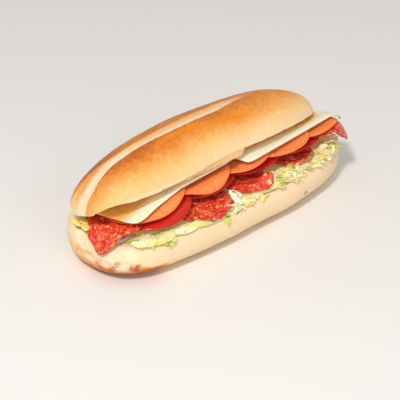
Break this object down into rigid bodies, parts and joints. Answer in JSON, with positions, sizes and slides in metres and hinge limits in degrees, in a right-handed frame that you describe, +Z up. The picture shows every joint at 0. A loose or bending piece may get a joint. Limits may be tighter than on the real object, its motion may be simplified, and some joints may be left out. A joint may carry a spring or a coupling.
{
  "type": "submarine sandwich",
  "caption": "Long hinge-cut white roll, propped open by a filling of shredded lettuce, salami, tomato, sausage slices and white cheese.",
  "frame": {"origin": "on the table, at the bottom centre of the whole sandwich", "axes": "+X along the roll towards the end where the cheese and the last salami slice stand out; +Y towards the hinged back, the open side facing -Y; +Z up"},
  "size_m": [0.1968, 0.0838, 0.0659],
  "materials": {
    "roll_crust": "baked crust, matt to satin",
    "lettuce_leaf": "fresh shredded leaf",
    "salami_meat": "moist sliced meat with fat flecks",
    "tomato_flesh": "wet cut fruit",
    "sausage_meat": "moist fine sliced meat",
    "white_cheese": "soft satin"
  },
  "bodies": {
    "root": {"roll": "roll_crust", "lettuce": "lettuce_leaf", "salami_1": "salami_meat", "salami_2": "salami_meat", "salami_3": "salami_meat", "salami_4": "salami_meat", "salami_5": "salami_meat", "tomato_1": "tomato_flesh", "tomato_2": "tomato_flesh", "tomato_3": "tomato_flesh", "tomato_4": "tomato_flesh", "sausage_1": "sausage_meat", "sausage_2": "sausage_meat", "sausage_3": "sausage_meat", "sausage_4": "sausage_meat", "sausage_5": "sausage_meat", "cheese_1": "white_cheese", "cheese_2": "white_cheese"}
  },
  "joints": []
}
